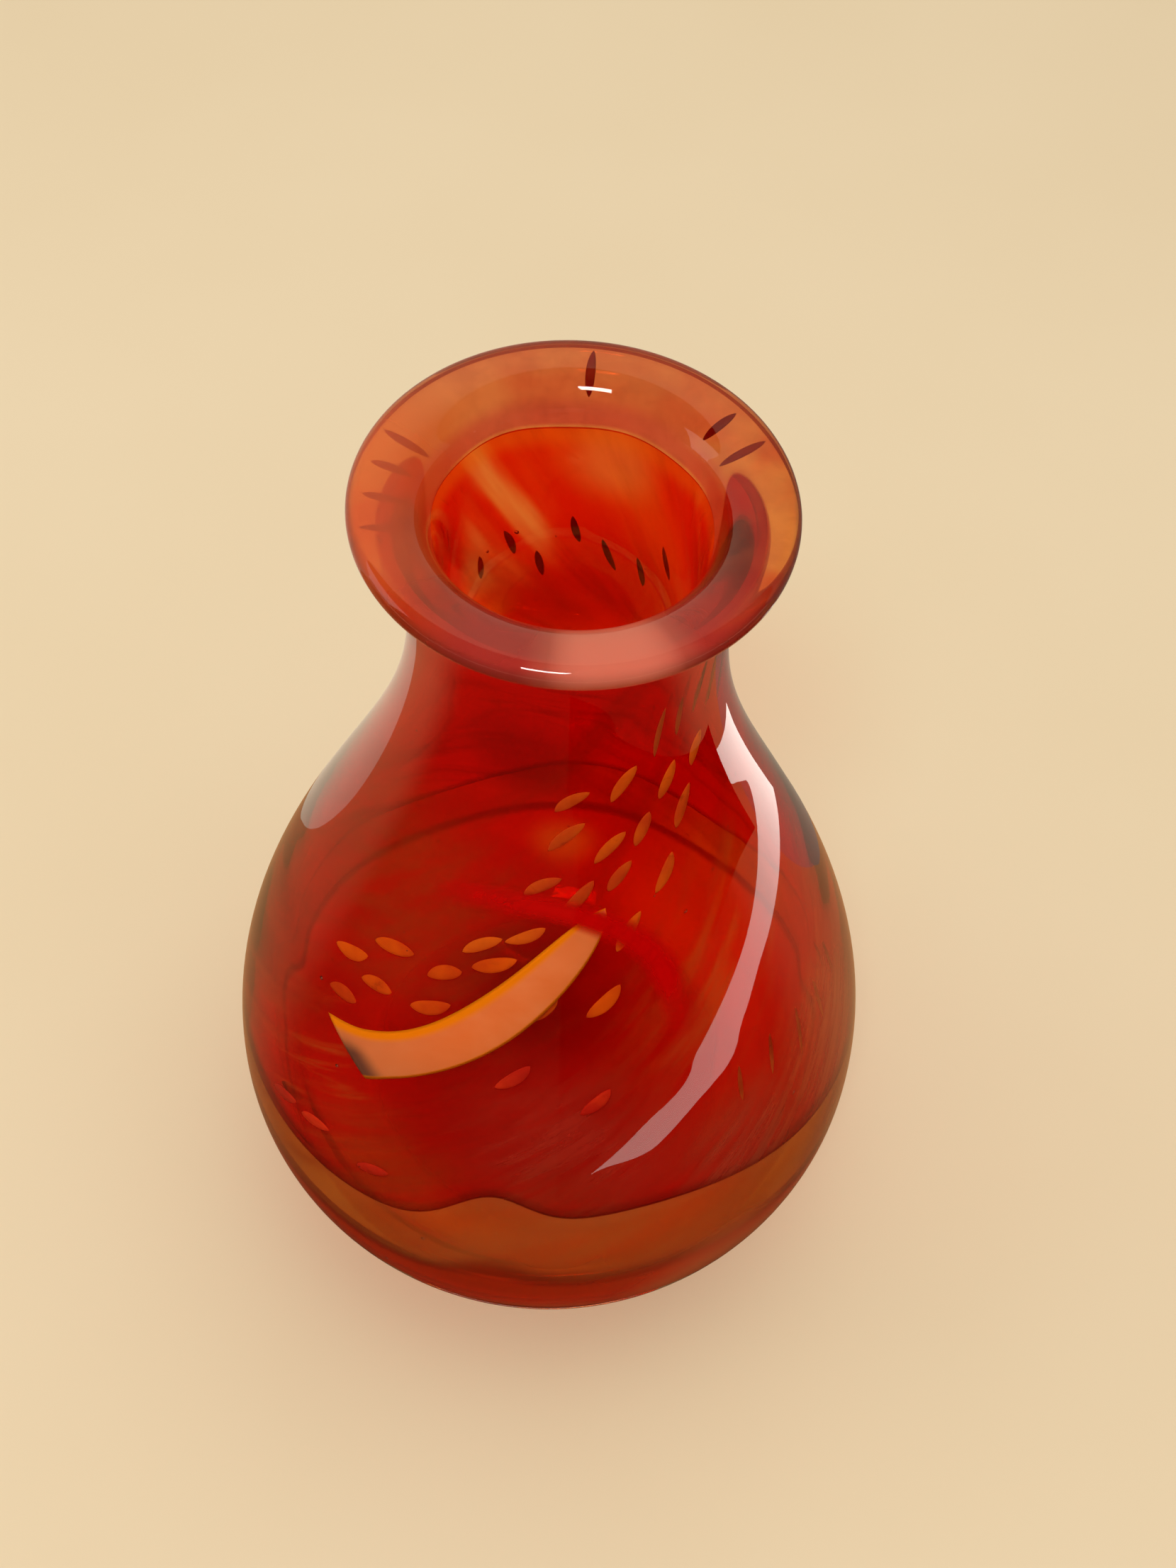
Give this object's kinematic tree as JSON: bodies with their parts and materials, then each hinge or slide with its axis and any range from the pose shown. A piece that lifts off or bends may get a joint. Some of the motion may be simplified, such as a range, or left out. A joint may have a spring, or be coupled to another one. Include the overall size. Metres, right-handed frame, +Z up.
{
  "type": "vase",
  "caption": "Pear shaped vase of thick cased art glass with a narrow neck and a flared, rounded lip; ruby over an amber base, with orange chips drowned in the clear casing.",
  "frame": {"origin": "centre of the ground foot, on the plane that the vase stands on", "axes": "+Z up along the vase's axis; -Y is the front, the side with the crescent; +X is to the right as seen from the front"},
  "size_m": [0.146, 0.146, 0.2306],
  "materials": {
    "clear_casing": "polished",
    "inner_lining": "polished",
    "ruby_film": "polished",
    "amber_base_film": "polished",
    "amber_lip_film": "polished",
    "orange_crescent": "polished",
    "ruby_ribbon": "polished",
    "orange_chips_band": "polished",
    "orange_chips_cluster": "polished",
    "coral_chips": "polished",
    "orange_threads": "polished",
    "lip_spindles": "polished",
    "throat_spindles": "polished"
  },
  "bodies": {
    "root": {"clear_casing": "clear_casing", "inner_lining": "inner_lining", "ruby_film": "ruby_film", "amber_base_film": "amber_base_film", "amber_lip_film": "amber_lip_film", "orange_crescent": "orange_crescent", "ruby_ribbon": "ruby_ribbon", "orange_chips_band": "orange_chips_band", "orange_chips_cluster": "orange_chips_cluster", "coral_chips": "coral_chips", "orange_threads": "orange_threads", "lip_spindles": "lip_spindles", "throat_spindles": "throat_spindles"}
  },
  "joints": []
}
